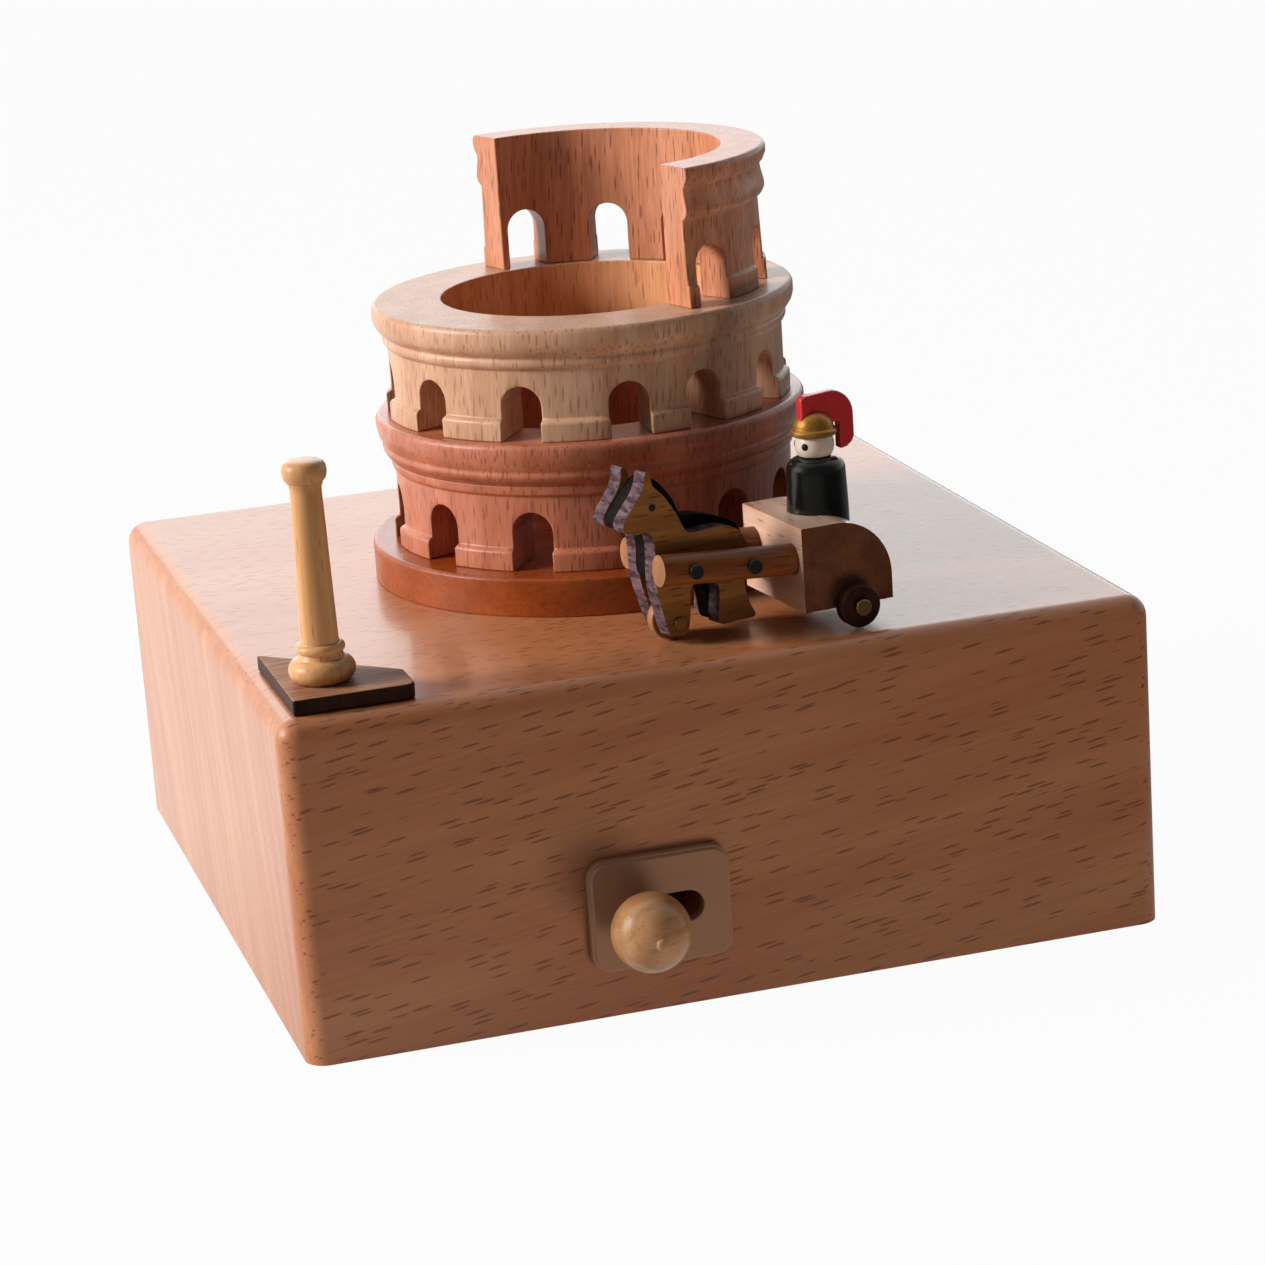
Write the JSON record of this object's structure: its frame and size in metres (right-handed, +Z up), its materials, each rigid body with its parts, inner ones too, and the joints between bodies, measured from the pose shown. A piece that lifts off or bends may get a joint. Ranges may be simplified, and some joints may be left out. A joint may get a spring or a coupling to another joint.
{
  "type": "music box",
  "caption": "Square wooden spring-wound music box with a turned arcaded arena, a corner column, and a horse and chariot that a hidden magnet draws round it.",
  "frame": {"origin": "middle of the case's underside, on the plane that it stands on", "axes": "+Z up, -Y towards the front with the stop knob, +X to the right seen from the front"},
  "size_m": [0.12, 0.1348, 0.1054],
  "materials": {
    "beech": "satin",
    "red_stain": "satin",
    "pale_wood": "satin",
    "dark_wood": "satin",
    "boxwood": "satin",
    "brown_wood": "satin",
    "charcoal_wood": "matte",
    "wheel_wood": "satin",
    "plywood": "matte",
    "plate_plastic": "satin",
    "black_lacquer": "gloss",
    "white_lacquer": "gloss",
    "gold_lacquer": "gloss",
    "red_lacquer": "gloss",
    "brass": "satin",
    "steel": "satin",
    "dark_steel": "satin",
    "zinc": "matte",
    "iron": "matte",
    "magnet": "gloss",
    "white_nylon": "satin",
    "black_nylon": "satin"
  },
  "bodies": {
    "housing": {"case": "beech", "bottom_cover": "plywood", "cover_screws": "steel", "slot_plate": "plate_plastic", "slider_guide": "steel", "guide_screws": "steel", "arena_disc": "red_stain", "arena_lower_tier": "red_stain", "arena_middle_tier": "beech", "arena_upper_tier": "red_stain", "column_plinth": "dark_wood", "column": "boxwood", "bedplate": "zinc", "bedplate_screws": "steel", "bearing_near": "zinc", "bearing_far": "zinc", "bracket_screws": "steel", "comb": "steel", "comb_base": "iron", "comb_screws": "steel", "governor_frame": "zinc"},
    "turntable": {"spring_barrel": "steel", "mainspring": "dark_steel", "crown_gear": "brass", "output_shaft": "steel", "magnet_arm": "zinc", "arm_screw": "steel", "drive_magnet": "magnet"},
    "winder": {"winding_arbor": "steel", "winding_key": "brass"},
    "cylinder": {"music_cylinder": "brass", "cylinder_arbor": "steel", "cylinder_pinion": "brass", "cylinder_wheel": "brass"},
    "second_train": {"second_arbor": "steel", "worm_wheel": "white_nylon"},
    "fly": {"worm_shaft": "steel", "governor_fly": "black_nylon"},
    "chariot": {"horse_side_left": "brown_wood", "horse_side_right": "brown_wood", "horse_core": "charcoal_wood", "pole_left": "brown_wood", "pole_right": "brown_wood", "pole_pins": "dark_steel", "front_axle": "brass", "chariot_block": "pale_wood", "chariot_magnet": "magnet", "charioteer_body": "black_lacquer", "charioteer_head": "white_lacquer", "charioteer_helmet": "gold_lacquer", "charioteer_crest": "red_lacquer"},
    "chariot_wheels": {"chariot_axle": "brass", "chariot_wheel_left": "wheel_wood", "chariot_wheel_right": "wheel_wood"},
    "lead_wheel": {"front_wheel": "pale_wood"},
    "stop": {"stop_knob": "pale_wood", "stop_stem": "boxwood", "stop_slider": "brass"}
  },
  "joints": [
    {"name": "turntable_spin", "type": "hinge", "parent": "housing", "child": "turntable", "pos_m": [0, 0, 0.025], "axis": [0, 0, 1], "continuous": true},
    {"name": "chariot_circle", "type": "hinge", "parent": "housing", "child": "chariot", "pos_m": [0, 0, 0.0465], "axis": [0, 0, 1], "continuous": true},
    {"name": "chariot_wheels_roll", "type": "hinge", "parent": "chariot", "child": "chariot_wheels", "pos_m": [0.01887, -0.04392, 0.04955], "axis": [0.13, -0.9915, 0], "continuous": true},
    {"name": "front_wheel_roll", "type": "hinge", "parent": "chariot", "child": "lead_wheel", "pos_m": [-0.00393, -0.04691, 0.0495], "axis": [0.13, -0.9915, 0], "continuous": true},
    {"name": "cylinder_spin", "type": "hinge", "parent": "housing", "child": "cylinder", "pos_m": [0, -0.0265, 0.0309], "axis": [0, -1, 0], "continuous": true},
    {"name": "second_spin", "type": "hinge", "parent": "housing", "child": "second_train", "pos_m": [-0.008, -0.04, 0.0289], "axis": [0, -1, 0], "continuous": true},
    {"name": "fly_spin", "type": "hinge", "parent": "housing", "child": "fly", "pos_m": [-0.01365, -0.042, 0.02], "axis": [0, 0, 1], "continuous": true},
    {"name": "key_wind", "type": "hinge", "parent": "housing", "child": "winder", "pos_m": [0, 0, 0.005], "axis": [0, 0, 1], "continuous": true},
    {"name": "stop_slide", "type": "slide", "parent": "housing", "child": "stop", "axis": [1, 0, 0], "range_m": [0, 0.0074]}
  ],
  "couplings": [
    {"joint": "chariot_circle", "follows": "turntable_spin", "ratio": 1},
    {"joint": "chariot_wheels_roll", "follows": "turntable_spin", "ratio": -15.862},
    {"joint": "front_wheel_roll", "follows": "turntable_spin", "ratio": -16.14},
    {"joint": "cylinder_spin", "follows": "turntable_spin", "ratio": 4},
    {"joint": "second_spin", "follows": "turntable_spin", "ratio": -8},
    {"joint": "fly_spin", "follows": "turntable_spin", "ratio": -72}
  ]
}
